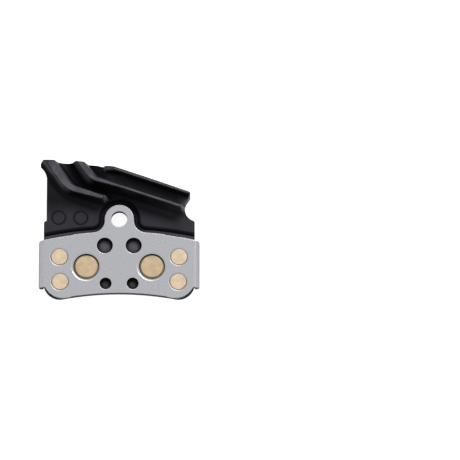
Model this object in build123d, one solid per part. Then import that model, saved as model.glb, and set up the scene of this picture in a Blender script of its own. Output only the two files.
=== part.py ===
from build123d import *
import math
import os

# Finned disc brake pad, lying on its friction face with the steel side up. X runs across the pad, Y points
# to the pin ear and the cooling fins, Z leads away from the rotor. The origin is the middle of the friction
# face. Lengths are in millimetres and angles in degrees.

# Layers, counted up from the friction face
lining_thickness = 2.0
web_thickness = 1.0  # fin plate between the lining and the steel plate
sheet_thickness = 1.2  # steel plate
field_height = 1.0  # fin plate's raised field above the pocket that takes the steel plate

# Steel back plate
plate_width = 41.0
plate_top = 8.3  # crown of the convex top edge
plate_bottom = -7.75  # crown of the concave bottom edge
top_edge_radius = 90.0
bottom_edge_radius = 78.0
lobe_radius = 5.0
wing_bottom = -6.3
wing_corner = 0.5
shear_step = 0.14  # where the two blanking cuts meet
top_step_inset = 8.8  # from the plate's ends
bottom_step_land = 2.0  # between the lobes and the steps
bend_radius = 0.3  # inside of the flange bend
flange_drop = 1.3  # flange below the front of the steel plate

# Pin ear
pin_y = 11.6
pin_hole_diameter = 4.1
pin_hole_relief = 0.1  # radial, in the fin plate behind the ear
ear_radius = 3.7
ear_fillet = 3.2

# Round windows in the steel plate: x, y, diameter
upper_window = (3.68, 4.65, 4.1)
lower_window = (3.45, -5.3, 3.05)

# Large studs, recessed in countersunk holes
stud_inset = 12.14  # from the plate's ends
stud_y = -0.8
stud_head_diameter = 6.3
stud_head_recess = 0.4
stud_shank_diameter = 4.8
stud_foot_diameter = 6.4
stud_hole_diameter = 6.6
stud_dish_width = 0.5  # shallow cone round the hole's mouth
stud_dish_depth = 0.25
stud_edge_chamfer = 0.42

# Small rivets, countersunk just below the steel: inset from the plate's ends, y
upper_rivet = (5.26, 1.73)
lower_rivet = (5.46, -4.76)
rivet_head_diameter = 4.15
rivet_head_recess = 0.28
rivet_head_height = 0.7
rivet_shank_diameter = 2.8
rivet_foot_diameter = 3.8
foot_height = 0.8  # rivet feet in the back of the lining
rivet_clearance = 0.03

# Friction lining
lining_side_inset = 0.35  # inside the fin plate's sides
lining_top_inset = 1.34  # inside the steel plate's top edge
lining_bottom_inset = 0.85
lining_lobe_radius = 4.1
lining_shoulder_radius = 3.0
lining_edge_chamfer = 0.2

# Fin plate outline; heights are above the pin hole's centre
side_clearance = 0.05  # to the flanges
corner_radius = 4.15  # lower corners, which stand out a little round the steel plate's lobes
step_height = -0.4
step_inset = 0.68
step_drop = 0.4
step_radius = 0.4
flare_height = 10.6
flare_reach = 1.65
tip_height = 14.0
tip_top = 15.3
tip_radius = 0.75
crown_radius = 90.0
crown_end_x = -0.4
crown_end_height = 12.7
crown_end_radius = 8.0
right_tip_inset = 0.9
right_tip_height = 6.05
right_tip_radius = 0.4
notch_start_inset = 2.4
notch_start_height = 3.7
notch_start_radius = 2.5
notch_middle_inset = 2.15
notch_middle_height = 1.08
shoulder_height = -0.5
shoulder_radius = 0.5
front_edge_chamfer = 0.25
bend_relief = 0.35  # side edges under the flange bends

# Pocket round the steel plate
pocket_gap = 0.95
pocket_wall_run = 0.45
pocket_rim_bevel = 0.4

# Back of the fin plate: it thins towards its top edge
thinning_start = 4.5
thinning = 1.1
thinning_end = 15.0
thinning_ease = 40.0
stock_spare = 2.0  # raw plate below the front, cut away with the outline

# Cooling fins on the back
fin_height = 4.3  # above the raised field
fin_crest_width = 0.8
fin_draft = 16.0
fin_run_angle = 18.6  # the straight runs fall to the right
fin_entry_angle = 56.0  # the entries fall steeper
fin_entry_length = 12.0
first_knee = (-13.0, 7.86)
first_run = 9.0
first_bend = 6.0
second_knee = (-7.05, 10.11)
second_run = 23.62
second_bend = 5.0
third_start = (-2.9, 12.9)
third_run = 21.6
roof_break_x = -0.5  # left of it the first two crests fall
roof_fall = 7.8
roof_bend = 40.0
nose_break_x = -1.2  # left of it the third crest falls
nose_fall = 36.0
nose_bend = 2.5
fin_crest_chamfer = 0.2
fin_base_round = 1.4

# Raised floor of the groove between the second and third fins
groove_depth = 2.2  # lowest line of the hollow floor below the crests
groove_hollow = 2.6  # radius of the hollow
groove_line = 1.5  # lowest line from the second fin's middle
groove_foot_x = -11.0  # start of the rise at its left end
groove_bend_x = -3.0  # end of the steeper part of the rise
groove_bend_sink = 0.2  # bend of the rise below the lowest line
groove_bend_ease = 15.0
groove_top_x = 14.0  # where the rise would reach the hollow's axis
groove_overrun = 3.0  # past the third fin's ends, cut away with the outline

# Louvres on the front
louvre_count = 4
louvre_foot_x = -12.4
louvre_foot_height = 3.65
louvre_pitch = 5.27
louvre_lean = 22.3
louvre_lean_step = 2.9
louvre_depth = 1.0
louvre_slope_run = 1.9
louvre_steep_run = 1.0
louvre_end_run = 0.9
louvre_length = 13.0
louvre_root = 0.3  # louvre bodies start this far inside the plate

# Scoop on the front, behind the second and third fins
scoop_corner_rise = 0.3  # along the last louvre, from its foot
scoop_corner_radius = 10.0
scoop_length = 10.9  # along the lower edge, to the right wall
scoop_foot_radius = 1.0
scoop_wall_lean = 10.0
scoop_start_depth = 0.2
scoop_end_depth = 1.25
scoop_wall_angle = 42.0

# Nubs on the front that hold the return spring
left_nub = (-16.7, -1.8)
left_nub_size = (2.6, 2.3)
left_nub_round = 0.9  # inner corners
left_nub_height = 0.5
right_nub = (16.2, -1.9)
right_nub_size = (1.7, 2.0)
right_nub_round = 0.3  # inner corners
right_nub_height = 0.8
nub_draft = 8.0

# Levels and widths that follow
z_web = lining_thickness
z_floor = z_web + web_thickness
z_back = z_floor + sheet_thickness
z_field = z_floor + field_height
z_roof = z_field + fin_height
z_groove = z_roof - groove_depth
z_hollow = z_groove + groove_hollow
plate_half = plate_width / 2
flange_inner = plate_half - sheet_thickness
fin_half = flange_inner - side_clearance
lining_half = fin_half - lining_side_inset
top_centre = plate_top - top_edge_radius
bottom_centre = plate_bottom - bottom_edge_radius
reach = 2 * plate_width  # larger than any piece
same_place = 1e-4
level_share = 0.9  # share of Z in the normal of a face that counts as level
stud_places = [(side * (plate_half - stud_inset), stud_y) for side in (-1, 1)]
rivets = (upper_rivet, lower_rivet)
rivet_places = [(side * (plate_half - inset), y) for side in (-1, 1) for inset, y in rivets]
top_step_x = plate_half - top_step_inset
bottom_step_x = flange_inner - lobe_radius - bottom_step_land


def at(x, height):
    """Point of the fin plate from its x and its height above the pin hole."""
    return (x, pin_y + height)


def block(x0, x1, y0, y1):
    """Flat rectangle between two corners."""
    return Pos((x0 + x1) / 2, (y0 + y1) / 2) * Rectangle(x1 - x0, y1 - y0)


def disc(place, diameter, z0, z1):
    """Upright cylinder at a place, between two levels."""
    return Pos(place[0], place[1], (z0 + z1) / 2) * Cylinder(diameter / 2, z1 - z0)


def prism(sketch, z0, z1):
    """Sketch carried straight up between two levels."""
    return Pos(0, 0, z0) * extrude(sketch, z1 - z0)


def side_prism(points):
    """Profile of (y, z) points carried across the whole width."""
    profile = make_face(Polyline(*points, close=True))
    return extrude(Plane.YZ * profile, reach, both=True)


def under_top_edge(inset=0.0):
    """Everything below the convex top edge, moved in by an inset."""
    return Pos(0, top_centre) * Circle(top_edge_radius - inset)


def under_bottom_edge(inset=0.0):
    """Everything below the concave bottom edge, moved in by an inset."""
    return Pos(0, bottom_centre) * Circle(bottom_edge_radius + inset)


def shoe(half_width, top_inset, bottom_inset, lobe):
    """Shoe outline: convex top, straight sides, lobes that run into the concave bottom."""
    strip = block(-half_width, half_width, plate_bottom - reach / 2, plate_top + reach / 2)
    outline = (strip & under_top_edge(top_inset)) - under_bottom_edge(bottom_inset)
    return fillet(outline.vertices().sort_by(Axis.Y)[:2], lobe)


def plate_outline():
    """Steel plate from above: shoe with wings, shear steps and the pin ear."""
    outer = shoe(flange_inner, shear_step, -shear_step, lobe_radius)
    wings = block(-plate_half, plate_half, wing_bottom, plate_top) & under_top_edge(shear_step)
    wings = fillet(wings.vertices(), wing_corner)
    crown = block(-top_step_x, top_step_x, wing_bottom, plate_top + ear_radius) & under_top_edge()
    blade = outer + wings + crown
    blade -= block(-bottom_step_x, bottom_step_x, plate_bottom - reach / 2, 0) & under_bottom_edge()
    blade += Pos(0, pin_y) * Circle(ear_radius)
    return round_ear(blade, ear_fillet)


def round_ear(outline, radius):
    """Rounds the two inner corners between the ear and the top edge."""
    crown = Vector(0, plate_top)
    inner = outline.vertices().sort_by_distance(crown)[:2]
    return fillet(inner, radius)


def back_plate():
    """Steel sheet with both ends bent to flanges towards the rotor."""
    section = block(-plate_half, plate_half, z_floor - flange_drop, z_back)
    section -= block(-flange_inner, flange_inner, z_floor - flange_drop, z_floor)
    corners = section.vertices().filter_by_position(Axis.X, -flange_inner, flange_inner)
    section = fillet(corners.sort_by(Axis.Y)[-2:], bend_radius)
    section = fillet(section.vertices().sort_by(Axis.Y)[-2:], bend_radius + sheet_thickness)
    channel = extrude(Plane.XZ * section, reach, both=True)
    plate = channel & prism(plate_outline(), 0, z_roof)
    plate -= disc((0, pin_y), pin_hole_diameter, 0, z_roof)
    for x, y, diameter in (upper_window, lower_window):
        for side in (-1, 1):
            plate -= disc((side * x, y), diameter, 0, z_roof)
    for place in stud_places:
        plate -= disc(place, stud_hole_diameter, 0, z_roof)
        plate -= Pos(place[0], place[1], z_back - stud_dish_depth / 2) * stud_dish()
    for place in rivet_places:
        plate -= Pos(*place) * countersunk(rivet_clearance, 0, z_back)
    return plate


def stud_dish():
    """Shallow cone that opens a stud hole towards the back."""
    hole = stud_hole_diameter / 2
    return Cone(hole, hole + stud_dish_width, stud_dish_depth)


def countersunk(growth, bottom, top):
    """Shank and widening cone about the Z axis between two levels, grown by a clearance."""
    shank = rivet_shank_diameter / 2 + growth
    cone_start = z_back - rivet_head_recess - rivet_head_height
    flare = (rivet_head_diameter - rivet_shank_diameter) / 2 / rivet_head_height
    points = [
        (0, bottom),
        (shank, bottom),
        (shank, cone_start),
        (shank + (top - cone_start) * flare, top),
        (0, top),
    ]
    return revolve(Plane.XZ * make_face(Polyline(*points, close=True)), Axis.Z)


def rivet_body():
    """Countersunk rivet about the Z axis with its foot in the lining."""
    foot = disc((0, 0), rivet_foot_diameter, z_web - foot_height, z_web)
    return foot + countersunk(0, z_web, z_back - rivet_head_recess)


def small_rivets():
    """Four countersunk rivets that hold the steel plate."""
    return Compound(children=[Pos(*place) * rivet_body() for place in rivet_places])


def stud_body():
    """Large stud about the Z axis: foot in the lining, shank in the fin plate, flat head."""
    head_top = z_back - stud_head_recess
    stud = disc((0, 0), stud_foot_diameter, z_web - foot_height, z_web)
    stud += disc((0, 0), stud_shank_diameter, z_web, z_floor)
    stud += disc((0, 0), stud_head_diameter, z_floor, head_top)
    return chamfer(stud.edges().sort_by(Axis.Z)[-1], stud_edge_chamfer)


def large_rivets():
    """Two large studs in the countersunk holes."""
    return Compound(children=[Pos(*place) * stud_body() for place in stud_places])


def friction_lining():
    """Sintered block with a blind seat in its back for each rivet foot."""
    outline = shoe(lining_half, lining_top_inset, lining_bottom_inset, lining_lobe_radius)
    shoulders = outline.vertices().sort_by(Axis.Y)[-2:]
    outline = fillet(shoulders, lining_shoulder_radius)
    lining = prism(outline, 0, lining_thickness)
    lining = chamfer(lining.faces().sort_by(Axis.Z)[0].edges(), lining_edge_chamfer)
    for place in stud_places:
        lining -= disc(place, stud_foot_diameter, z_web - foot_height, z_floor)
    for place in rivet_places:
        lining -= disc(place, rivet_foot_diameter, z_web - foot_height, z_floor)
    return lining


def fin_plate_outline():
    """Fin plate from above: shoe below, stepped left side, crowned top edge and notched right side."""
    left = -fin_half + step_inset
    tip = at(left - flare_reach, tip_height)
    tip_end = at(left - flare_reach, tip_top)
    crown_end = at(crown_end_x, crown_end_height)
    right_tip = at(fin_half - right_tip_inset, right_tip_height)
    notch_start = at(fin_half - notch_start_inset, notch_start_height)
    notch_middle = at(fin_half - notch_middle_inset, notch_middle_height)
    shoulder = at(fin_half, shoulder_height)
    step = at(-fin_half, step_height - step_drop)
    lower_left = (-fin_half, 0)
    edges = [
        Line(lower_left, step),
        Line(step, at(left, step_height)),
        Line(at(left, step_height), at(left, flare_height)),
        TangentArc(at(left, flare_height), tip, tangent=(0, 1)),
        Line(tip, tip_end),
        RadiusArc(tip_end, crown_end, crown_radius),
        Line(crown_end, right_tip),
        Line(right_tip, notch_start),
        ThreePointArc(notch_start, notch_middle, shoulder),
        Line(shoulder, (fin_half, 0)),
        Line((fin_half, 0), lower_left),
    ]
    upper = make_face(edges)
    rounds = [
        (step, step_radius),
        (tip_end, tip_radius),
        (crown_end, crown_end_radius),
        (right_tip, right_tip_radius),
        (notch_start, notch_start_radius),
        (shoulder, shoulder_radius),
    ]
    for corner, radius in rounds:
        upper = fillet(upper.vertices().sort_by_distance(Vector(*corner))[0], radius)
    lower = shoe(fin_half, 0, 0, corner_radius)
    return upper + lower


def stock():
    """Raw plate whose back falls smoothly towards the top edge."""
    slope = thinning / (thinning_end - thinning_start)
    start = pin_y + thinning_start
    end = pin_y + 2 * thinning_end
    profile = make_face(Polyline(
        (-reach, z_web - stock_spare),
        (-reach, z_field),
        (start, z_field),
        (end, z_field - (end - start) * slope),
        (end, z_web - stock_spare),
        close=True,
    ))
    crease = profile.vertices().sort_by_distance(Vector(start, z_field))[0]
    return extrude(Plane.YZ * fillet(crease, thinning_ease), reach, both=True)


def finned(plate, crest, cover):
    """Raw plate with a fin grown down from its crest: drafted flanks, bevelled crest, rounded base."""
    fin = Pos(0, 0, z_roof) * extrude(crest, z_web - z_roof, taper=-fin_draft)
    fin &= cover
    crest_faces = [face for face in fin.faces() if face.normal_at().Z > level_share]
    fin = chamfer([edge for face in crest_faces for edge in face.edges()], fin_crest_chamfer)
    grown = plate + fin
    return fillet(new_edges(plate, fin, combined=grown), fin_base_round)


def heading(angle):
    """Unit step that falls to the right by an angle."""
    return Vector(math.cos(math.radians(angle)), -math.sin(math.radians(angle)))


def bent_crest(knee, run, bend):
    """Crest band of a curved fin: steep entry from the top edge, bend, straight run, round end."""
    corner = Vector(*at(*knee))
    start = corner - heading(fin_entry_angle) * fin_entry_length
    end = corner + heading(fin_run_angle) * run
    path = FilletPolyline(start, corner, end, radius=bend)
    return crest_band(path)


def straight_crest(start, run):
    """Crest band of the fin along the top edge."""
    first = Vector(*at(*start))
    return crest_band(Line(first, first + heading(fin_run_angle) * run))


def crest_band(path):
    """Band of the crest's width along a path, with round ends."""
    return make_face(offset(path, fin_crest_width / 2, side=Side.BOTH, kind=Kind.ARC))


def roof(break_x, fall, bend):
    """Everything below a fin's crest: level on the right, falling to the left of a break."""
    drop = reach * math.tan(math.radians(fall))
    points = [
        (break_x + reach, z_roof),
        (break_x + reach, -reach),
        (break_x - reach, -reach),
        (break_x - reach, z_roof - drop),
        (break_x, z_roof),
    ]
    profile = make_face(Polyline(*points, close=True))
    ridge = profile.vertices().sort_by_distance(Vector(break_x, z_roof))[0]
    return extrude(Plane.XZ * fillet(ridge, bend), reach, both=True)


def groove_floor():
    """Raised hollow floor between the second and third fins that rises from the left."""
    along = heading(fin_run_angle)
    second = Vector(*at(*second_knee))
    third = Vector(*at(*third_start))
    band = make_face(Polyline(
        second,
        second + along * second_run,
        third + along * (third_run + groove_overrun),
        third - along * groove_overrun,
        second - heading(fin_entry_angle) * fin_entry_length,
        close=True,
    ))
    bend = (groove_bend_x, z_groove - groove_bend_sink)
    points = [
        (groove_foot_x, z_web),
        (groove_foot_x, z_floor),
        bend,
        (groove_top_x, z_hollow),
        (reach, z_hollow),
        (reach, z_web),
    ]
    profile = make_face(Polyline(*points, close=True))
    profile = fillet(profile.vertices().sort_by_distance(Vector(*bend))[0], groove_bend_ease)
    floor = prism(band, z_web, z_hollow) & extrude(Plane.XZ * profile, reach, both=True)
    lowest = second + Vector(-along.Y, along.X) * groove_line
    hollow = Rot(0, 0, -fin_run_angle) * Rot(0, 90, 0) * Cylinder(groove_hollow, reach)
    return floor - Pos(lowest.X, lowest.Y, z_hollow) * hollow


def louvre_foot(index):
    """Lower end of a louvre's crest line."""
    return Vector(*at(louvre_foot_x + index * louvre_pitch, louvre_foot_height))


def louvre_angle(index):
    """Lean of a louvre's crest line to the left."""
    return louvre_lean + index * louvre_lean_step


def louvres(outline):
    """Raised sawtooth louvres on the front, fanning out, with a slanted lower end."""
    section = make_face(Polyline(
        (-louvre_slope_run, louvre_root),
        (-louvre_slope_run, 0),
        (0, -louvre_depth),
        (louvre_steep_run, 0),
        (louvre_steep_run, louvre_root),
        close=True,
    ))
    tooth = extrude(Plane.XZ * section, louvre_length, both=True)
    teeth = Part()
    for index in range(louvre_count):
        foot = louvre_foot(index)
        teeth += Pos(foot.X, foot.Y, z_web) * Rot(0, 0, louvre_angle(index)) * tooth
    foot_y = pin_y + louvre_foot_height
    low = z_web - louvre_depth
    root = z_web + louvre_root
    ends = side_prism([
        (foot_y - louvre_end_run, root),
        (foot_y - louvre_end_run, z_web),
        (foot_y, low),
        (foot_y + reach, low),
        (foot_y + reach, root),
    ])
    return teeth & ends & prism(outline, 0, root)


def scoop():
    """Recess on the front beside the last louvre that deepens towards the top edge."""
    foot = louvre_foot(louvre_count - 1)
    lean = math.radians(louvre_angle(louvre_count - 1))
    climb = Vector(-math.sin(lean), math.cos(lean))
    across = Vector(climb.Y, -climb.X)
    along = heading(fin_run_angle)
    corner = foot + across * louvre_steep_run + climb * scoop_corner_rise
    far = corner + along * scoop_length
    wall = Vector(math.sin(math.radians(scoop_wall_lean)), math.cos(math.radians(scoop_wall_lean)))
    left_end = corner + climb * louvre_length
    right_end = far + wall * louvre_length
    field = make_face(Polyline(left_end, corner, far, right_end, close=True))
    field = fillet(field.vertices().sort_by_distance(corner)[0], scoop_corner_radius)
    field = fillet(field.vertices().sort_by_distance(far)[0], scoop_foot_radius)
    dish = Pos(0, 0, z_web) * extrude(field, scoop_end_depth, taper=scoop_wall_angle)
    outward = Vector(-along.Y, along.X)
    near = outward.dot(corner)
    rim = outward.dot(Vector(*at(crown_end_x, crown_end_height)))
    floor = side_prism([
        (near, z_web),
        (near, z_web + scoop_start_depth),
        (rim, z_web + scoop_end_depth),
        (rim + reach, z_web + scoop_end_depth),
        (rim + reach, z_web),
    ])
    return dish & Rot(0, 0, -fin_run_angle) * floor


def nub(place, size, corner, height):
    """Drafted nub on the front of the fin plate, round towards the middle."""
    foot = Pos(*at(*place)) * Rectangle(*size)
    inner = foot.vertices().sort_by_distance(Vector(*at(0, place[1])))[:2]
    return Pos(0, 0, z_web) * extrude(fillet(inner, corner), -height, taper=nub_draft)


def pocket_opening(gap):
    """Steel plate's top edge and ear with a gap all round, open to the bottom."""
    opening = block(-plate_width, plate_width, -plate_width, plate_top + gap) & under_top_edge(-gap)
    opening += Pos(0, pin_y) * Circle(ear_radius + gap)
    return round_ear(opening, ear_fillet - gap)


def pocket():
    """Recess for the steel plate with a sloping wall and a bevelled rim."""
    wall_top = pocket_opening(pocket_gap + pocket_wall_run)
    rim = pocket_opening(pocket_gap + pocket_wall_run + pocket_rim_bevel)
    sections = [
        Pos(0, 0, z_floor) * pocket_opening(pocket_gap),
        Pos(0, 0, z_field - pocket_rim_bevel) * wall_top,
        Pos(0, 0, z_field) * rim,
    ]
    return loft(sections, ruled=True) + prism(rim, z_field, z_roof)


def is_under_bend(edge):
    """True for the fin plate's side edges that lie in the inside of a flange bend."""
    middle = edge.center()
    return abs(abs(middle.X) - fin_half) < same_place and abs(middle.Z - z_floor) < same_place


def fin_plate():
    """Forged aluminium plate with back fins, front louvres, scoop and the pocket for the steel plate."""
    outline = fin_plate_outline()
    raw = stock()
    body = raw
    long_roof = roof(roof_break_x, roof_fall, roof_bend)
    nose_roof = roof(nose_break_x, nose_fall, nose_bend)
    body += finned(raw, bent_crest(first_knee, first_run, first_bend), long_roof)
    body += finned(raw, bent_crest(second_knee, second_run, second_bend), long_roof)
    body += finned(raw, straight_crest(third_start, third_run), nose_roof)
    body += groove_floor()
    body &= prism(outline, z_web, z_roof)
    body = chamfer(body.faces().sort_by(Axis.Z)[0].edges(), front_edge_chamfer)
    body -= pocket()
    body = chamfer([edge for edge in body.edges() if is_under_bend(edge)], bend_relief)
    body -= scoop()
    body += louvres(outline)
    body += nub(left_nub, left_nub_size, left_nub_round, left_nub_height)
    body += nub(right_nub, right_nub_size, right_nub_round, right_nub_height)
    body -= disc((0, pin_y), pin_hole_diameter + 2 * pin_hole_relief, 0, z_roof)
    for place in stud_places:
        body -= disc(place, stud_shank_diameter + 2 * rivet_clearance, 0, z_roof)
    for place in rivet_places:
        body -= disc(place, rivet_shank_diameter + 2 * rivet_clearance, 0, z_roof)
    return body


os.makedirs("parts", exist_ok=True)
nodes = {
    "back_plate": back_plate,
    "fin_plate": fin_plate,
    "friction_lining": friction_lining,
    "large_rivets": large_rivets,
    "small_rivets": small_rivets,
}
for name, make in nodes.items():
    export_step(make(), f"parts/{name}.step")
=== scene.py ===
import math

import bpy
import numpy as np
from bpy.props import FloatProperty, FloatVectorProperty, PointerProperty
from bpy.types import NodeSocket, Operator, Panel, PropertyGroup
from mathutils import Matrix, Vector


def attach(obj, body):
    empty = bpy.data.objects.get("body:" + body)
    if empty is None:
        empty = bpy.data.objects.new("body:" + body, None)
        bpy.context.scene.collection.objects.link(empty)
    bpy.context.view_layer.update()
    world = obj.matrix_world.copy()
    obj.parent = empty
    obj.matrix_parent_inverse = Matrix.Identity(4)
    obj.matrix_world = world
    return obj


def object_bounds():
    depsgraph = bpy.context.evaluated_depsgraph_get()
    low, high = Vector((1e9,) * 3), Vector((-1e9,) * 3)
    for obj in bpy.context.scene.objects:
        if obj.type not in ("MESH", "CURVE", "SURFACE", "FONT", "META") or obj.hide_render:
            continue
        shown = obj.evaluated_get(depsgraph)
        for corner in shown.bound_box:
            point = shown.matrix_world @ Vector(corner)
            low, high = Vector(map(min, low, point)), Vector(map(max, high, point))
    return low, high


bl_info = {
    "name": "Finned brake pad",
    "version": (1, 0, 0),
    "blender": (4, 5, 0),
    "location": "View3D > Sidebar > Brake Pad",
    "description": "Finishes the pieces of a finned disc brake pad and sets the stage for it",
    "category": "Object",
}

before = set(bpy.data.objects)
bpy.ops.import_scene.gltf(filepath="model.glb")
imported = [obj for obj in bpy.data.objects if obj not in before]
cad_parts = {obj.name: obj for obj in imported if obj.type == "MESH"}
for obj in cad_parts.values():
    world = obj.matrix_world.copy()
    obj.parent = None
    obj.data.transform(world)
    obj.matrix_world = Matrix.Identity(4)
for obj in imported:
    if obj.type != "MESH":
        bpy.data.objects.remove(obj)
CAD_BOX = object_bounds()
MM = 0.001

# Values of a cloudy noise: nearly all lie in its range, most of them in its core
NOISE_RANGE = (0.3, 0.7)
NOISE_CORE = (0.35, 0.65)

# Cosine between the soft and the true normal, on a face and on its edge
WIDE_EDGE = (0.995, 0.8)
NEAR_EDGE = (0.999, 0.97)

# Part of a normal along Z or X where a face starts to count as facing that way, and where it fully does
FACING_UP = (0.8, 0.97)
FACING_ASIDE = (0.4, 0.75)

# Free share of the sky in a hollow and on an open face
HOLLOW_TO_OPEN = (0.5, 0.97)

# Openness of a crest where the painted highlight starts and where it is full
OPEN_CREST = (0.4, 0.7)

# Values of the lining's noises where dark specks and bright grains start and where they are full
DARK_SPECKS = (0.45, 0.39)
BRIGHT_GRAINS = (0.52, 0.64)

# Free share of the sky on the floor right beside the part, and in the open: where the painted shadow in the
# mirrored glow is full, and where it ends
FLOOR_SHADING = (0.5, 1.0)

# Nearest and farthest distance that the camera sees, in metres
CAMERA_CLIP = (0.01, 20.0)


def shade(name, words, default):
    """Colour property in linear light."""
    return FloatVectorProperty(
        name=name, description=words, default=default, subtype="COLOR", size=3, min=0, max=1
    )


def share(name, words, default):
    """Property between 0 and 1."""
    return FloatProperty(name=name, description=words, default=default, subtype="FACTOR", min=0, max=1)


def length(name, words, default):
    """Length property, given in millimetres and kept in metres."""
    return FloatProperty(name=name, description=words, default=default * MM, unit="LENGTH", precision=5)


def place(name, words, default):
    """Point property, given in millimetres and kept in metres."""
    point = tuple(c * MM for c in default)
    return FloatVectorProperty(
        name=name, description=words, default=point, subtype="XYZ", unit="LENGTH", size=3
    )


class BRAKEPAD_PG_steel(PropertyGroup):
    """Brushed stainless steel of the back plate"""

    colour: shade("Colour", "Mean colour of the brushed steel", (0.53, 0.538, 0.568))
    streak: share("Streaks", "How far the brush marks lighten and darken the steel", 0.12)
    brush_width: length("Brush width", "Width of a brush mark", 0.2)
    brush_run: FloatProperty(
        name="Brush run", description="Length of a brush mark in its widths", default=4.0, min=1
    )
    grain_size: length("Grain size", "Size of the even grain between the brush marks", 0.3)
    grain_depth: length("Grain depth", "Depth of the brush marks", 0.0025)
    roughness: share("Roughness", "Mean roughness of the brushed face", 0.2)
    roughness_swing: share("Roughness swing", "How far brush marks change the roughness", 0.04)
    edge_round: length("Edge round", "Broken edge along the outline and the holes", 0.24)
    edge_roughness: share("Edge roughness", "Roughness of the tumbled edges", 0.42)
    edge_tint: shade("Edge tint", "Tint of the steel where it is seen at a slant", (0.4, 0.4, 0.43))
    # Painted shade: the share of the steel's colour left in hollows, where little of the sky is free
    hollow: share("Hollows", "Part of the colour that is left in hollows", 0.3)
    hollow_reach: length("Hollow reach", "How far from a hollow the steel darkens", 1.5)


class BRAKEPAD_PG_coating(PropertyGroup):
    """Satin black coating of the fin plate"""

    colour: shade("Colour", "Colour of the black coating on open faces", (0.042, 0.04, 0.051))
    mottle: share("Mottle", "How far clouds lighten and darken the coating", 0.2)
    cloud_size: length("Cloud size", "Size of a cloud in the coating", 2.5)
    # Painted shade: the coating takes this colour in hollows and at the fins' feet
    hollow: shade("Hollows", "Colour in hollows and at the fins' feet", (0.0026, 0.0022, 0.0038))
    hollow_reach: length("Hollow reach", "How far from a hollow the coating darkens", 5.0)
    # Painted shade: towards the fins' end the coating darkens to the hollows' colour, standing in for the
    # fins' shadow
    dark_start: length("Dark start", "Where the coating starts to darken towards the fins' end", 11.5)
    dark_end: length("Dark end", "From where on the coating is as dark as in hollows", 17.5)
    # The pocket's level floor takes a lighter grey than the coating elsewhere
    pocket: shade("Pocket", "Colour of the paler coating on the pocket's floor", (0.23, 0.225, 0.262))
    pocket_floor: length("Pocket floor", "Height up to which a face has the pocket's colour", 3.1)
    pocket_lip: length("Pocket lip", "Height where the pocket's colour has faded out", 3.7)
    pocket_end: length("Pocket end", "How far up the plate the pocket's colour reaches", 8.5)
    field_start: length("Field start", "Where the pocket's colour has faded out up the plate", 9.5)
    # Painted highlight: lighter colour on the fins' crests, high side flanks and edges, standing in for
    # sheen
    highlit: shade("Lit edges", "Colour where crests and edges are rubbed thin", (0.14, 0.136, 0.158))
    highlit_least: share("Least gleam", "Gleam in the darkest clouds, as a part of the full one", 0.7)
    edge_highlit: share("Edge shine", "Gleam of the edges, as a part of that on the crests", 0.4)
    crest_start: length("Crest start", "Height where the fins' crests start to be rubbed", 5.5)
    crest_end: length("Crest end", "Height from which the fins' crests are fully rubbed", 6.1)
    flank_start: length("Flank start", "Height where the fins' side flanks start to lighten", 3.6)
    flank_end: length("Flank end", "Height where the side flanks are as light as the crests", 6.2)
    gloss: share("Gloss", "Strength of the coating's reflection", 0.08)
    roughness: share("Roughness", "Mean roughness of the coating on open faces", 0.3)
    roughness_swing: share("Roughness swing", "How far clouds change the roughness", 0.05)
    hollow_roughness: share("Hollow roughness", "Roughness of the coating in hollows", 0.75)
    grain_size: length("Grain size", "Size of the blasted grain under the coating", 0.12)
    grain_depth: length("Grain depth", "Depth of the blasted grain under the coating", 0.006)
    edge_round: length("Edge round", "Soft edge of the forging", 0.3)
    left_mark: place("Left mark", "Middle of the left round mould mark", (-15.45, 12.05, 4.0))
    right_mark: place("Right mark", "Middle of the right round mould mark", (-9.85, 12.0, 4.0))
    mark_radius: length("Mark radius", "Radius of the round mould marks", 1.72)
    mark_width: length("Mark width", "Width of the raised ring of a mark", 0.44)
    mark_height: length("Mark height", "Height of the ring above the field", 0.1)
    # Painted shade: a darker band along each mould ring, standing in for the shade of the ring's relief
    mark_shade: length("Mark shade", "Width of the darker band along the ring", 0.9)
    mark_light: share("Mark light", "Part of the open colour that is left along the ring", 0.1)


class BRAKEPAD_PG_lining(PropertyGroup):
    """Sintered metal of the friction block"""

    colour: shade("Colour", "Mean colour of the sintered metal", (0.515, 0.37, 0.243))
    mottle: share("Mottle", "How far clouds lighten and darken the metal", 0.15)
    cloud_size: length("Cloud size", "Size of a cloud in the metal", 6.6)
    bronze: shade("Bright grains", "Colour of the bright bronze grains", (0.78, 0.62, 0.45))
    graphite: shade("Dark specks", "Colour of the graphite specks and pores", (0.07, 0.062, 0.06))
    grain: length("Grain size", "Size of a bright grain", 0.55)
    speck: length("Speck size", "Size of a dark speck", 0.44)
    speck_turn: FloatProperty(
        name="Speck turn", description="Turn of the specks against the grains", default=0.7, unit="ROTATION"
    )
    pore_depth: length("Pore depth", "Depth of the pores", 0.05)
    metal: share("Metal", "How metallic the block looks", 0.35)
    roughness: share("Roughness", "Roughness of the grains", 0.55)
    pore_roughness: share("Pore roughness", "Roughness of the specks and pores", 0.85)
    edge_round: length("Edge round", "Broken edge of the block", 0.1)


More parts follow.
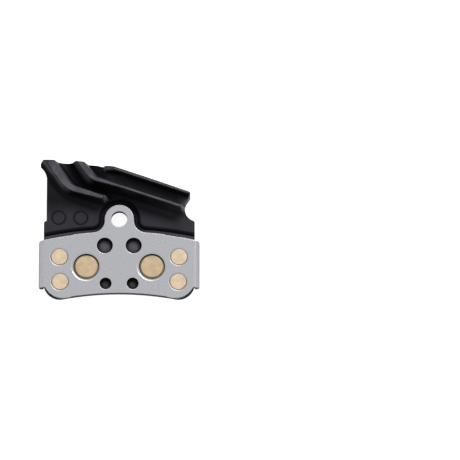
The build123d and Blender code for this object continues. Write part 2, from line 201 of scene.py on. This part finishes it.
class BRAKEPAD_PG_rivets(PropertyGroup):
    """Matte bronze of the studs and rivets"""

    stud: shade("Large studs", "Colour of the large studs", (0.61, 0.465, 0.29))
    rivet: shade("Small rivets", "Colour of the small rivets", (0.735, 0.585, 0.41))
    darker: share("Darker", "How far clouds and grain darken the heads", 0.14)
    lighter: share("Lighter", "How far clouds and grain lighten the heads", 0.12)
    # Painted shade: the heads keep only this share of their colour along their edges, standing in for the
    # shaded seam round them
    edge: share("Edges", "Part of the colour that is left along the edges", 0.45)
    edge_round: length("Edge round", "Soft edge of the heads", 0.12)
    cloud_size: length("Cloud size", "Size of a cloud on the heads", 1.6)
    grain_size: length("Grain size", "Size of the pressed grain on the heads", 0.25)
    grain_depth: length("Grain depth", "Depth of the grain on the heads", 0.01)
    metal: share("Metal", "How metallic the heads look", 0.4)
    roughness: share("Roughness", "Mean roughness of the pressed heads", 0.55)
    roughness_swing: share("Roughness swing", "How far the grain changes the roughness", 0.08)


class BRAKEPAD_PG_stage(PropertyGroup):
    """Floor, light and camera"""

    floor: shade("Floor", "Colour of the floor", (0.9, 0.9, 0.9))
    floor_glow: share("Floor glow", "Part of the floor's white that shadows don't take away", 0.88)
    floor_half: length("Floor half", "From the middle of the floor to its sides", 3000.0)
    floor_gap: length("Floor gap", "How far the floor lies below the part", 0.02)
    contact: length("Contact", "Reach of the dark seam under the part that metal mirrors", 8.0)
    mirror: share("Mirrored glow", "Part of the glow that metal mirrors away from the part", 0.15)
    sky: share("Sky", "Strength of the even light from all round", 0.36)
    key_power: FloatProperty(
        name="Key power", description="Power of the soft lamp at the upper right", default=3.2, unit="POWER"
    )
    key_spot: place("Key spot", "Place of the soft lamp", (189.0, 434.0, 518.0))
    key_width: length("Key width", "Width of the soft lamp", 450.0)
    key_height: length("Key height", "Height of the soft lamp", 220.0)
    aim: place("Aim", "Point in the middle of the picture", (28.24, 8.7, 4.2))
    elevation: FloatProperty(
        name="Elevation",
        description="Height of the camera above the horizon",
        default=math.radians(76.0),
        unit="ROTATION",
    )
    distance: length("Distance", "From the camera to the aim", 1600.0)
    width: length("Width", "Width of the picture at the aim", 117.35)


class Nodes:
    """Writer of one node tree, a material's or a world's."""

    def __init__(self, owner):
        owner.use_nodes = True
        self.tree = owner.node_tree
        self.tree.nodes.clear()

    def add(self, kind, **settings):
        """New node with its settings."""
        node = self.tree.nodes.new(kind)
        for key, value in settings.items():
            setattr(node, key, value)
        return node

    def join(self, source, target):
        """Links an output to an input, or sets the input to a plain value."""
        if isinstance(source, NodeSocket):
            self.tree.links.new(source, target)
        else:
            target.default_value = source

    def arithmetic(self, kind, *values):
        """One step of arithmetic."""
        node = self.add("ShaderNodeMath", operation=kind)
        for socket, value in zip(node.inputs, values):
            self.join(value, socket)
        return node.outputs["Value"]

    def times(self, first, second):
        """Product of two values."""
        return self.arithmetic("MULTIPLY", first, second)

    def larger(self, first, second):
        """The larger of two values."""
        return self.arithmetic("MAXIMUM", first, second)

    def rest(self, value):
        """What a share leaves of 1."""
        return self.arithmetic("SUBTRACT", 1.0, value)

    def mean(self, first, second):
        """Value halfway between two values."""
        return self.arithmetic("MULTIPLY_ADD", first, 0.5, self.times(second, 0.5))

    def spread(self, value, low, high, to_low=0.0, to_high=1.0, smooth=True):
        """Value carried from one range to another, with eased ends or in a straight line."""
        node = self.add("ShaderNodeMapRange", interpolation_type="SMOOTHSTEP" if smooth else "LINEAR")
        ranges = {"Value": value, "From Min": low, "From Max": high, "To Min": to_low, "To Max": to_high}
        for key, number in ranges.items():
            self.join(number, node.inputs[key])
        return node.outputs["Result"]


class Finish(Nodes):
    """Node material for one finish, patterned in millimetres of the object's own coordinates."""

    def __init__(self, name):
        self.material = bpy.data.materials.new(name)
        super().__init__(self.material)
        self.shader = self.add("ShaderNodeBsdfPrincipled")
        output = self.add("ShaderNodeOutputMaterial")
        self.join(self.shader.outputs["BSDF"], output.inputs["Surface"])
        coordinates = self.add("ShaderNodeTexCoord").outputs["Object"]
        self.millimetres = self.turned(coordinates, (1 / MM, 1 / MM, 1 / MM))

    def turned(self, vector, stretch, turn=0.0):
        """Coordinates stretched along each axis and then turned about Z by an angle."""
        node = self.add("ShaderNodeMapping")
        self.join(vector, node.inputs["Vector"])
        node.inputs["Scale"].default_value = stretch
        node.inputs["Rotation"].default_value = (0, 0, turn)
        return node.outputs["Vector"]

    def noise(self, size, stretch=(1, 1, 1), turn=0.0, detail=2.0, rough=0.5):
        """Cloudy noise from 0 to 1 whose lumps are as wide as the size."""
        node = self.add("ShaderNodeTexNoise")
        self.join(self.turned(self.millimetres, stretch, turn), node.inputs["Vector"])
        node.inputs["Scale"].default_value = MM / size
        node.inputs["Detail"].default_value = detail
        node.inputs["Roughness"].default_value = rough
        return node.outputs["Fac"]

    def swing(self, noise, middle, reach):
        """Value that swings about a middle with a noise."""
        return self.spread(noise, *NOISE_RANGE, middle - reach, middle + reach)

    def blend(self, factor, first, second):
        """Colour between two colours."""
        node = self.add("ShaderNodeMix", data_type="RGBA")
        self.join(factor, node.inputs["Factor"])
        sockets = [socket for socket in node.inputs if socket.type == "RGBA"]
        for socket, colour in zip(sockets, (first, second)):
            self.join(colour if isinstance(colour, NodeSocket) else (*colour, 1.0), socket)
        return next(socket for socket in node.outputs if socket.type == "RGBA")

    def mottled(self, factor, colour, darker, lighter):
        """Colour made darker by a share at factor 0 and lighter by another at factor 1."""
        return self.blend(factor, scaled(colour, 1 - darker), scaled(colour, 1 + lighter))

    def soft_edge(self, radius):
        """Normal that runs round the edges within a radius."""
        node = self.add("ShaderNodeBevel", samples=6)
        node.inputs["Radius"].default_value = radius
        return node.outputs["Normal"]

    def edge_share(self, soft, cosines):
        """From 0 on a face to 1 on an edge: how far the soft normal leaves the true one."""
        face = self.add("ShaderNodeNewGeometry").outputs["Normal"]
        node = self.add("ShaderNodeVectorMath", operation="DOT_PRODUCT")
        self.join(soft, node.inputs[0])
        self.join(face, node.inputs[1])
        return self.spread(node.outputs["Value"], *cosines)

    def openness(self, reach):
        """From 0 deep in a hollow to 1 on an open face: the free share of the sky within a reach."""
        node = self.add("ShaderNodeAmbientOcclusion", samples=8)
        node.inputs["Distance"].default_value = reach
        return self.spread(node.outputs["AO"], *HOLLOW_TO_OPEN, smooth=False)

    def along(self, vector, axis):
        """One part of a vector."""
        node = self.add("ShaderNodeSeparateXYZ")
        self.join(vector, node.inputs["Vector"])
        return node.outputs[axis]

    def beyond(self, axis, start, end):
        """From 0 to 1 between two places along an axis."""
        return self.spread(self.along(self.millimetres, axis), start / MM, end / MM)

    def facing_up(self, normal):
        """1 where a normal points up, 0 where it leans by more than about 37 degrees."""
        return self.spread(self.along(normal, "Z"), *FACING_UP)

    def facing_aside(self, normal):
        """1 where a normal points left or right, 0 where it is more than about 66 degrees off."""
        return self.spread(self.arithmetic("ABSOLUTE", self.along(normal, "X")), *FACING_ASIDE)

    def relief(self, height, depth, normal):
        """Normal of a fine relief whose height goes from 0 to 1 over a depth."""
        node = self.add("ShaderNodeBump")
        node.inputs["Strength"].default_value = 1.0
        node.inputs["Distance"].default_value = depth
        self.join(height, node.inputs["Height"])
        self.join(normal, node.inputs["Normal"])
        return node.outputs["Normal"]

    def set(self, **values):
        """Colours, numbers or links for the shader's inputs."""
        for key, value in values.items():
            self.join(value, self.shader.inputs[key.replace("_", " ")])


def scaled(colour, factor):
    """Colour made lighter or darker by a factor."""
    return tuple(min(1.0, c * factor) for c in colour)


def dress(node, finish):
    """Gives a CAD node its finish."""
    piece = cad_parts[node]
    piece.data.materials.clear()
    piece.data.materials.append(finish.material)


class BRAKEPAD_OT_back_plate(Operator):
    """Finish the bent steel plate with fine brush marks"""

    bl_idname = "brake_pad.back_plate"
    bl_label = "Steel back plate"

    def execute(self, context):
        steel = context.scene.brake_pad_steel
        finish = Finish("brushed_steel")
        brush = finish.noise(steel.brush_width, stretch=(1 / steel.brush_run, 1, 1), detail=3, rough=0.6)
        grain = finish.noise(steel.grain_size)
        marks = finish.mean(brush, grain)
        tone = finish.spread(marks, *NOISE_RANGE)
        soft = finish.soft_edge(steel.edge_round)
        free = finish.openness(steel.hollow_reach)
        brushed = finish.swing(marks, steel.roughness, -steel.roughness_swing)
        edge = finish.edge_share(soft, NEAR_EDGE)
        face = finish.mottled(tone, steel.colour, steel.streak, steel.streak)
        finish.set(
            # Painted shade: the steel's colour darkens in hollows and round the studs
            Base_Color=finish.blend(free, scaled(steel.colour, steel.hollow), face),
            Metallic=1.0,
            Specular_Tint=(*steel.edge_tint, 1.0),
            Roughness=finish.spread(edge, 0.0, 1.0, brushed, steel.edge_roughness, smooth=False),
            Normal=finish.relief(marks, steel.grain_depth, soft),
        )
        dress("back_plate", finish)
        return {"FINISHED"}


def highlit_crests(finish, coating, free, up):
    """Painted highlight, up to 1 on the fins' crests: high, open and facing up."""
    high = finish.beyond("Z", coating.crest_start, coating.crest_end)
    return finish.times(finish.times(high, up), finish.spread(free, *OPEN_CREST))


def highlit_sides(finish, coating, soft):
    """Painted highlight, up to 1 high on the fins' side flanks, and up to the edges' share of it along all
    edges.
    """
    rise = finish.beyond("Z", coating.flank_start, coating.flank_end)
    flank = finish.times(finish.facing_aside(soft), rise)
    return finish.larger(flank, finish.times(finish.edge_share(soft, WIDE_EDGE), coating.edge_highlit))


def pocket_floor(finish, coating, up):
    """1 on the level floor of the pocket, 0 above its lip and farther up the plate."""
    above = finish.beyond("Z", coating.pocket_floor, coating.pocket_lip)
    past = finish.beyond("Y", coating.pocket_end, coating.field_start)
    return finish.times(up, finish.rest(finish.larger(above, past)))


def ring_band(finish, coating, middle):
    """From 0 to 1 towards the line of a mould ring: by the distance from that line."""
    away = finish.add("ShaderNodeVectorMath", operation="SUBTRACT")
    finish.join(finish.millimetres, away.inputs[0])
    away.inputs[1].default_value = tuple(c / MM for c in middle)
    reach = finish.add("ShaderNodeVectorMath", operation="LENGTH")
    finish.join(away.outputs["Vector"], reach.inputs[0])
    past = finish.arithmetic("SUBTRACT", reach.outputs["Value"], coating.mark_radius / MM)
    return finish.spread(finish.arithmetic("ABSOLUTE", past), coating.mark_shade / MM / 2, 0.0)


def light_field(finish, coating):
    """Share free of painted shade: 1 on the open end of the plate, 0 towards the fins' end, and little
    along the mould rings.
    """
    near = finish.rest(finish.beyond("Y", coating.dark_start, coating.dark_end))
    marks = (coating.left_mark, coating.right_mark)
    band = finish.larger(*(ring_band(finish, coating, middle) for middle in marks))
    return finish.times(near, finish.spread(band, 0.0, 1.0, 1.0, coating.mark_light))


class BRAKEPAD_OT_fin_plate(Operator):
    """Finish the forged fin plate with a satin black coating"""

    bl_idname = "brake_pad.fin_plate"
    bl_label = "Black fin plate"

    def execute(self, context):
        coating = context.scene.brake_pad_coating
        finish = Finish("satin_black")
        grain = finish.noise(coating.grain_size)
        cloud = finish.noise(coating.cloud_size, detail=3)
        soft = finish.soft_edge(coating.edge_round)
        free = finish.openness(coating.hollow_reach)
        up = finish.facing_up(soft)
        crests = highlit_crests(finish, coating, free, up)
        highlit_mask = finish.larger(crests, highlit_sides(finish, coating, soft))
        highlit = finish.times(highlit_mask, finish.spread(cloud, *NOISE_CORE, coating.highlit_least, 1.0))
        field = finish.mottled(cloud, coating.colour, coating.mottle, coating.mottle)
        face = finish.blend(pocket_floor(finish, coating, up), field, coating.pocket)
        # Painted shade: dark colour in hollows, towards the fins' end and in a band along the mould rings
        body = finish.blend(finish.times(free, light_field(finish, coating)), coating.hollow, face)
        satin = finish.swing(cloud, coating.roughness, coating.roughness_swing)
        finish.set(
            # Painted highlight on the crests, high flanks and edges
            Base_Color=finish.blend(highlit, body, coating.highlit),
            Specular_IOR_Level=coating.gloss,
            Roughness=finish.spread(free, 0.0, 1.0, coating.hollow_roughness, satin, smooth=False),
            Normal=finish.relief(grain, coating.grain_depth, soft),
        )
        dress("fin_plate", finish)
        return {"FINISHED"}


def new_piece(name, points, faces):
    """Object with a smooth mesh of the points and faces."""
    mesh = bpy.data.meshes.new(name)
    mesh.from_pydata(points.tolist(), [], faces.tolist())
    mesh.polygons.foreach_set("use_smooth", np.ones(len(faces), dtype=bool))
    piece = bpy.data.objects.new(name, mesh)
    bpy.context.scene.collection.objects.link(piece)
    return piece


def ring_grid(middle, radius, half_width, height, around=96, across=16):
    """Flat bead along a circle: at angle u round the circle and v round the bead, a point lies
    radius + half_width * cos(v) from the middle and height * sin(v) above its level."""
    u = np.arange(around) * 2 * np.pi / around
    v = np.arange(across) * 2 * np.pi / across
    u, v = (angle.ravel() for angle in np.meshgrid(u, v, indexing="ij"))
    reach = radius + half_width * np.cos(v)
    points = np.stack([reach * np.cos(u), reach * np.sin(u), height * np.sin(v)], axis=1)
    i, j = (index.ravel() for index in np.indices((around, across)))
    this, following = i * across, (i + 1) % around * across
    j_next = (j + 1) % across
    faces = np.stack([this + j, following + j, following + j_next, this + j_next], axis=1)
    return points + np.array(middle), faces


class BRAKEPAD_OT_mould_marks(Operator):
    """Raise the two fine mould rings on the fin plate"""

    bl_idname = "brake_pad.mould_marks"
    bl_label = "Mould rings"

    def execute(self, context):
        coating = context.scene.brake_pad_coating
        size = (coating.mark_radius, coating.mark_width / 2, coating.mark_height)
        left, faces = ring_grid(coating.left_mark, *size)
        right, _ = ring_grid(coating.right_mark, *size)
        points = np.concatenate([left, right])
        marks = new_piece("mould_marks", points, np.concatenate([faces, faces + len(left)]))
        marks.data.materials.append(bpy.data.materials["satin_black"])
        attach(marks, "root")
        return {"FINISHED"}


class BRAKEPAD_OT_friction_lining(Operator):
    """Finish the friction block as sintered metal with grains and pores"""

    bl_idname = "brake_pad.friction_lining"
    bl_label = "Sintered friction block"

    def execute(self, context):
        lining = context.scene.brake_pad_lining
        finish = Finish("sintered_metal")
        grain = finish.noise(lining.grain, detail=3, rough=0.65)
        specks = finish.noise(lining.speck, rough=0.6, turn=lining.speck_turn)
        cloud = finish.noise(lining.cloud_size)
        dark = finish.spread(specks, *DARK_SPECKS)
        bright = finish.spread(grain, *BRIGHT_GRAINS)
        base = finish.mottled(cloud, lining.colour, lining.mottle, lining.mottle)
        grains = finish.blend(bright, base, lining.bronze)
        height = finish.arithmetic("SUBTRACT", grain, dark)
        finish.set(
            Base_Color=finish.blend(dark, grains, lining.graphite),
            Metallic=lining.metal,
            Roughness=finish.spread(dark, 0.0, 1.0, lining.roughness, lining.pore_roughness),
            Normal=finish.relief(height, lining.pore_depth, finish.soft_edge(lining.edge_round)),
        )
        dress("friction_lining", finish)
        return {"FINISHED"}


def pressed_bronze(name, colour, rivets):
    """Matte bronze with a fine pressed grain."""
    finish = Finish(name)
    grain = finish.noise(rivets.grain_size, detail=3, rough=0.6)
    cloud = finish.noise(rivets.cloud_size)
    tone = finish.spread(finish.mean(cloud, grain), *NOISE_CORE)
    soft = finish.soft_edge(rivets.edge_round)
    face = finish.mottled(tone, colour, rivets.darker, rivets.lighter)
    finish.set(
        # Painted shade: darker edges of the heads, standing in for the shaded seam round them
        Base_Color=finish.blend(finish.edge_share(soft, WIDE_EDGE), face, scaled(colour, rivets.edge)),
        Metallic=rivets.metal,
        Roughness=finish.swing(grain, rivets.roughness, rivets.roughness_swing),
        Normal=finish.relief(grain, rivets.grain_depth, soft),
    )
    return finish


class BRAKEPAD_OT_large_rivets(Operator):
    """Finish the two large studs in matte bronze"""

    bl_idname = "brake_pad.large_rivets"
    bl_label = "Large studs"

    def execute(self, context):
        rivets = context.scene.brake_pad_rivets
        dress("large_rivets", pressed_bronze("stud_bronze", rivets.stud, rivets))
        return {"FINISHED"}


class BRAKEPAD_OT_small_rivets(Operator):
    """Finish the small countersunk rivets in a lighter bronze"""

    bl_idname = "brake_pad.small_rivets"
    bl_label = "Small rivets"

    def execute(self, context):
        rivets = context.scene.brake_pad_rivets
        dress("small_rivets", pressed_bronze("rivet_bronze", rivets.rivet, rivets))
        return {"FINISHED"}


def sheet_grid(name, half, level, steps=8):
    """Level square sheet: points at -half to half in equal steps along X and Y."""
    line = np.linspace(-half, half, steps + 1)
    x, y = np.meshgrid(line, line)
    points = np.stack([x.ravel(), y.ravel(), np.full(x.size, level)], axis=1)
    corner = (np.arange(steps)[:, None] * (steps + 1) + np.arange(steps)[None, :]).ravel()
    faces = np.stack([corner, corner + 1, corner + steps + 2, corner + steps + 1], axis=1)
    return new_piece(name, points, faces)


def seen_rays(nodes, mirrored=1.0):
    """1 for camera, transmission and glossy rays, else 0; glossy rays may be dimmed by a share."""
    path = nodes.add("ShaderNodeLightPath").outputs
    glossy = nodes.times(path["Is Glossy Ray"], mirrored)
    straight = nodes.larger(path["Is Camera Ray"], path["Is Transmission Ray"])
    return nodes.larger(straight, glossy)


def white_floor(stage):
    """Pale floor that keeps shadows: a diffuse colour plus a glow to seen rays.
    What metal mirrors of the glow is dimmed, and a painted shadow dims it more near the part."""
    material = bpy.data.materials.new("white_floor")
    nodes = Nodes(material)
    diffuse = nodes.add("ShaderNodeBsdfDiffuse")
    diffuse.inputs["Color"].default_value = (*stage.floor, 1.0)
    shading = nodes.add("ShaderNodeAmbientOcclusion")
    shading.inputs["Distance"].default_value = stage.contact
    # Painted shadow: the glow that metal mirrors fades out right beside the part
    mirrored = nodes.spread(shading.outputs["AO"], *FLOOR_SHADING, 0.0, stage.mirror, smooth=False)
    glow = nodes.add("ShaderNodeEmission")
    nodes.join(nodes.times(seen_rays(nodes, mirrored), stage.floor_glow), glow.inputs["Strength"])
    both = nodes.add("ShaderNodeAddShader")
    nodes.join(diffuse.outputs["BSDF"], both.inputs[0])
    nodes.join(glow.outputs["Emission"], both.inputs[1])
    output = nodes.add("ShaderNodeOutputMaterial")
    nodes.join(both.outputs["Shader"], output.inputs["Surface"])
    return material


def white_sky(stage):
    """Even sky: white to seen rays, a softer light to all others."""
    world = bpy.data.worlds.new("white_sky")
    nodes = Nodes(world)
    sky = nodes.add("ShaderNodeBackground")
    strength = nodes.spread(seen_rays(nodes), 0.0, 1.0, stage.sky, 1.0, smooth=False)
    nodes.join(strength, sky.inputs["Strength"])
    output = nodes.add("ShaderNodeOutputWorld")
    nodes.join(sky.outputs["Background"], output.inputs["Surface"])
    return world


def soft_lamp(name, spot, target, size, power):
    """Rectangular soft lamp at a spot, turned to a target."""
    data = bpy.data.lights.new(name, "AREA")
    data.shape = "RECTANGLE"
    data.size, data.size_y = size
    data.energy = power
    lamp = bpy.data.objects.new(name, data)
    lamp.location = spot
    lamp.rotation_euler = (Vector(target) - Vector(spot)).to_track_quat("-Z", "Y").to_euler()
    bpy.context.scene.collection.objects.link(lamp)


def picture_camera(scene, stage):
    """Camera at the picture's distance and elevation, with a lens that takes in the picture's width."""
    data = bpy.data.cameras.new("camera")
    data.lens = data.sensor_width * stage.distance / stage.width
    data.clip_start, data.clip_end = CAMERA_CLIP
    camera = bpy.data.objects.new("camera", data)
    back = Vector((0, -math.cos(stage.elevation), math.sin(stage.elevation)))
    camera.location = Vector(stage.aim) + back * stage.distance
    camera.rotation_euler = (math.pi / 2 - stage.elevation, 0, 0)
    scene.collection.objects.link(camera)
    scene.camera = camera


class BRAKEPAD_OT_stage(Operator):
    """Set up the floor, the light and the camera"""

    bl_idname = "brake_pad.stage"
    bl_label = "Stage"

    def execute(self, context):
        stage = context.scene.brake_pad_stage
        floor = sheet_grid("floor", stage.floor_half, -stage.floor_gap)
        floor.data.materials.append(white_floor(stage))
        context.scene.world = white_sky(stage)
        middle = (CAD_BOX[0] + CAD_BOX[1]) / 2
        size = (stage.key_width, stage.key_height)
        soft_lamp("key_lamp", stage.key_spot, middle, size, stage.key_power)
        picture_camera(context.scene, stage)
        context.scene.view_settings.view_transform = "Standard"
        return {"FINISHED"}


class BRAKEPAD_PT_tools(Panel):
    """Tools of the brake pad in the sidebar"""

    bl_idname = "BRAKEPAD_PT_tools"
    bl_label = "Brake Pad"
    bl_space_type = "VIEW_3D"
    bl_region_type = "UI"
    bl_category = "Brake Pad"

    def draw(self, context):
        for operator in OPERATORS:
            self.layout.operator(operator.bl_idname)


GROUPS = {
    "brake_pad_steel": BRAKEPAD_PG_steel,
    "brake_pad_coating": BRAKEPAD_PG_coating,
    "brake_pad_lining": BRAKEPAD_PG_lining,
    "brake_pad_rivets": BRAKEPAD_PG_rivets,
    "brake_pad_stage": BRAKEPAD_PG_stage,
}
OPERATORS = (
    BRAKEPAD_OT_back_plate,
    BRAKEPAD_OT_fin_plate,
    BRAKEPAD_OT_mould_marks,
    BRAKEPAD_OT_friction_lining,
    BRAKEPAD_OT_large_rivets,
    BRAKEPAD_OT_small_rivets,
    BRAKEPAD_OT_stage,
)


def register():
    """Adds the settings, tools and panel."""
    for name, group in GROUPS.items():
        bpy.utils.register_class(group)
        setattr(bpy.types.Scene, name, PointerProperty(type=group))
    for tool in (*OPERATORS, BRAKEPAD_PT_tools):
        bpy.utils.register_class(tool)


def unregister():
    """Takes the panel, tools and settings away."""
    for tool in (BRAKEPAD_PT_tools, *reversed(OPERATORS)):
        bpy.utils.unregister_class(tool)
    for name, group in reversed(GROUPS.items()):
        delattr(bpy.types.Scene, name)
        bpy.utils.unregister_class(group)


def main():
    """Registers the add-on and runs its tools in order."""
    register()
    bpy.ops.brake_pad.back_plate()
    bpy.ops.brake_pad.fin_plate()
    bpy.ops.brake_pad.mould_marks()
    bpy.ops.brake_pad.friction_lining()
    bpy.ops.brake_pad.large_rivets()
    bpy.ops.brake_pad.small_rivets()
    bpy.ops.brake_pad.stage()


if __name__ == "__main__":
    main()
